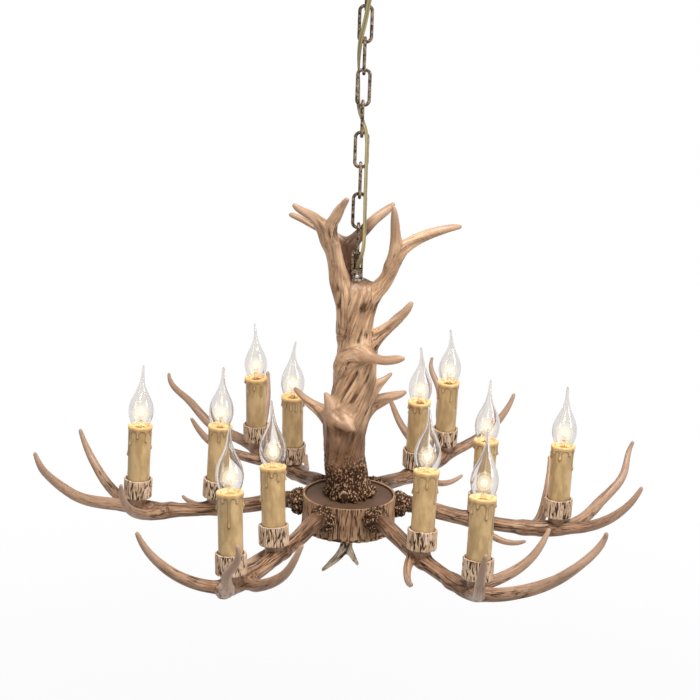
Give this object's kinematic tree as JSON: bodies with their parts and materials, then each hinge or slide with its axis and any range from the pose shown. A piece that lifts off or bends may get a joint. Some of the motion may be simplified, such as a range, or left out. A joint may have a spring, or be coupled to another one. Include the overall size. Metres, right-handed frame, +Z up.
{
  "type": "antler chandelier",
  "caption": "Pendant chandelier of cast antlers: an antler column on a bark-covered hub, forked antler arms with lit candle bulbs, hung from a ceiling canopy on a link chain.",
  "frame": {"origin": "on the lamp's axis in the ceiling plane, midway between the bracket's two slots", "axes": "+Z up to the ceiling, +X to the right and +Y away from someone who looks at the front"},
  "size_m": [0.841, 0.8161, 0.907],
  "materials": {
    "bronze": "antique bronze, speckled",
    "steel": "bright zinc",
    "block": "moulded, pale",
    "bushing": "moulded, black",
    "flex": "flat twin flex, olive gold",
    "antler": "cast resin, grooved and stained",
    "bark": "cast bark, cracked",
    "candle": "wax drips, olive tan",
    "clear_glass": "clear, lit",
    "cap": "screw cap with filament mount"
  },
  "bodies": {
    "ceiling": {"ceiling_bracket": "steel", "loop_lock_nut": "steel", "canopy": "bronze", "canopy_collar": "bronze", "ceiling_loop": "bronze", "cord_bushing": "bushing", "terminal_block": "block", "supply_cord": "flex"},
    "link_1": {"chain_link_1": "bronze"},
    "link_2": {"chain_link_2": "bronze"},
    "link_3": {"chain_link_3": "bronze"},
    "link_4": {"chain_link_4": "bronze"},
    "link_5": {"chain_link_5": "bronze"},
    "link_6": {"chain_link_6": "bronze"},
    "link_7": {"chain_link_7": "bronze"},
    "link_8": {"chain_link_8": "bronze"},
    "link_9": {"chain_link_9": "bronze"},
    "fixture": {"hanger_yoke": "bronze", "yoke_screw": "steel", "star_washer": "steel", "stem_tube": "steel", "antler_column": "antler", "hub_top_plate": "bronze", "hub_drum": "bark", "hub_bottom_plate": "bronze", "antler_finial": "antler", "arm_bolts": "steel", "candle_cups": "bark", "candle_sleeves": "candle", "lamp_holders": "block", "antler_arm_1": "antler", "antler_arm_2": "antler", "antler_arm_3": "antler", "antler_arm_4": "antler", "antler_arm_5": "antler", "antler_arm_6": "antler"},
    "bulb_inner_1": {"bulb_glass_inner_1": "clear_glass", "bulb_cap_inner_1": "cap"},
    "bulb_outer_1": {"bulb_glass_outer_1": "clear_glass", "bulb_cap_outer_1": "cap"},
    "bulb_inner_2": {"bulb_glass_inner_2": "clear_glass", "bulb_cap_inner_2": "cap"},
    "bulb_outer_2": {"bulb_glass_outer_2": "clear_glass", "bulb_cap_outer_2": "cap"},
    "bulb_inner_3": {"bulb_glass_inner_3": "clear_glass", "bulb_cap_inner_3": "cap"},
    "bulb_outer_3": {"bulb_glass_outer_3": "clear_glass", "bulb_cap_outer_3": "cap"},
    "bulb_inner_4": {"bulb_glass_inner_4": "clear_glass", "bulb_cap_inner_4": "cap"},
    "bulb_outer_4": {"bulb_glass_outer_4": "clear_glass", "bulb_cap_outer_4": "cap"},
    "bulb_inner_5": {"bulb_glass_inner_5": "clear_glass", "bulb_cap_inner_5": "cap"},
    "bulb_outer_5": {"bulb_glass_outer_5": "clear_glass", "bulb_cap_outer_5": "cap"},
    "bulb_inner_6": {"bulb_glass_inner_6": "clear_glass", "bulb_cap_inner_6": "cap"},
    "bulb_outer_6": {"bulb_glass_outer_6": "clear_glass", "bulb_cap_outer_6": "cap"}
  },
  "joints": [
    {"name": "link_1_swing", "type": "hinge", "parent": "ceiling", "child": "link_1", "pos_m": [0, 0, -0.0925], "axis": [1, 0, 0], "range_deg": [-8, 8], "deforming": ["supply_cord"]},
    {"name": "link_2_swing", "type": "hinge", "parent": "link_1", "child": "link_2", "pos_m": [0, 0, -0.13275], "axis": [0, 1, 0], "range_deg": [-8, 8]},
    {"name": "link_3_swing", "type": "hinge", "parent": "link_2", "child": "link_3", "pos_m": [0, 0, -0.17325], "axis": [1, 0, 0], "range_deg": [-8, 8]},
    {"name": "link_4_swing", "type": "hinge", "parent": "link_3", "child": "link_4", "pos_m": [0, 0, -0.21375], "axis": [0, 1, 0], "range_deg": [-8, 8]},
    {"name": "link_5_swing", "type": "hinge", "parent": "link_4", "child": "link_5", "pos_m": [0, 0, -0.25425], "axis": [1, 0, 0], "range_deg": [-8, 8]},
    {"name": "link_6_swing", "type": "hinge", "parent": "link_5", "child": "link_6", "pos_m": [0, 0, -0.29475], "axis": [0, 1, 0], "range_deg": [-8, 8]},
    {"name": "link_7_swing", "type": "hinge", "parent": "link_6", "child": "link_7", "pos_m": [0, 0, -0.33525], "axis": [1, 0, 0], "range_deg": [-8, 8]},
    {"name": "link_8_swing", "type": "hinge", "parent": "link_7", "child": "link_8", "pos_m": [0, 0, -0.37575], "axis": [0, 1, 0], "range_deg": [-8, 8]},
    {"name": "link_9_swing", "type": "hinge", "parent": "link_8", "child": "link_9", "pos_m": [0, 0, -0.41625], "axis": [1, 0, 0], "range_deg": [-8, 8]},
    {"name": "fixture_swing", "type": "hinge", "parent": "link_9", "child": "fixture", "pos_m": [0, 0, -0.45675], "axis": [0, 1, 0], "range_deg": [-8, 8]},
    {"name": "bulb_inner_1_turn", "type": "hinge", "parent": "fixture", "child": "bulb_inner_1", "pos_m": [0.1878, 0.01023, -0.71078], "axis": [0.0158, 0.0255, 0.9996], "range_deg": [0, 1080]},
    {"name": "bulb_outer_1_turn", "type": "hinge", "parent": "fixture", "child": "bulb_outer_1", "pos_m": [0.29716, 0.02582, -0.71965], "axis": [0.0158, 0.0255, 0.9996], "range_deg": [0, 1080]},
    {"name": "bulb_inner_2_turn", "type": "hinge", "parent": "fixture", "child": "bulb_inner_2", "pos_m": [0.09926, 0.14886, -0.70033], "axis": [0.0118, -0.0937, 0.9955], "range_deg": [0, 1080]},
    {"name": "bulb_outer_2_turn", "type": "hinge", "parent": "fixture", "child": "bulb_outer_2", "pos_m": [0.14768, 0.24853, -0.6983], "axis": [0.0118, -0.0937, 0.9955], "range_deg": [0, 1080]},
    {"name": "bulb_inner_3_turn", "type": "hinge", "parent": "fixture", "child": "bulb_inner_3", "pos_m": [-0.08796, 0.15715, -0.70141], "axis": [-0.0162, -0.0787, 0.9968], "range_deg": [0, 1080]},
    {"name": "bulb_outer_3_turn", "type": "hinge", "parent": "fixture", "child": "bulb_outer_3", "pos_m": [-0.1488, 0.24979, -0.70185], "axis": [-0.0162, -0.0787, 0.9968], "range_deg": [0, 1080]},
    {"name": "bulb_inner_4_turn", "type": "hinge", "parent": "fixture", "child": "bulb_inner_4", "pos_m": [-0.18201, 0.01425, -0.70421], "axis": [0.039, 0.0122, 0.9992], "range_deg": [0, 1080]},
    {"name": "bulb_outer_4_turn", "type": "hinge", "parent": "fixture", "child": "bulb_outer_4", "pos_m": [-0.29275, 0.01077, -0.7066], "axis": [0.039, 0.0122, 0.9992], "range_deg": [0, 1080]},
    {"name": "bulb_inner_5_turn", "type": "hinge", "parent": "fixture", "child": "bulb_inner_5", "pos_m": [-0.09958, -0.15036, -0.70195], "axis": [-0.0357, 0.0924, 0.9951], "range_deg": [0, 1080]},
    {"name": "bulb_outer_5_turn", "type": "hinge", "parent": "fixture", "child": "bulb_outer_5", "pos_m": [-0.14662, -0.25071, -0.70111], "axis": [-0.0357, 0.0924, 0.9951], "range_deg": [0, 1080]},
    {"name": "bulb_inner_6_turn", "type": "hinge", "parent": "fixture", "child": "bulb_inner_6", "pos_m": [0.09823, -0.15052, -0.70104], "axis": [0.0245, 0.0917, 0.9955], "range_deg": [0, 1080]},
    {"name": "bulb_outer_6_turn", "type": "hinge", "parent": "fixture", "child": "bulb_outer_6", "pos_m": [0.16429, -0.23951, -0.70125], "axis": [0.0245, 0.0917, 0.9955], "range_deg": [0, 1080]}
  ]
}
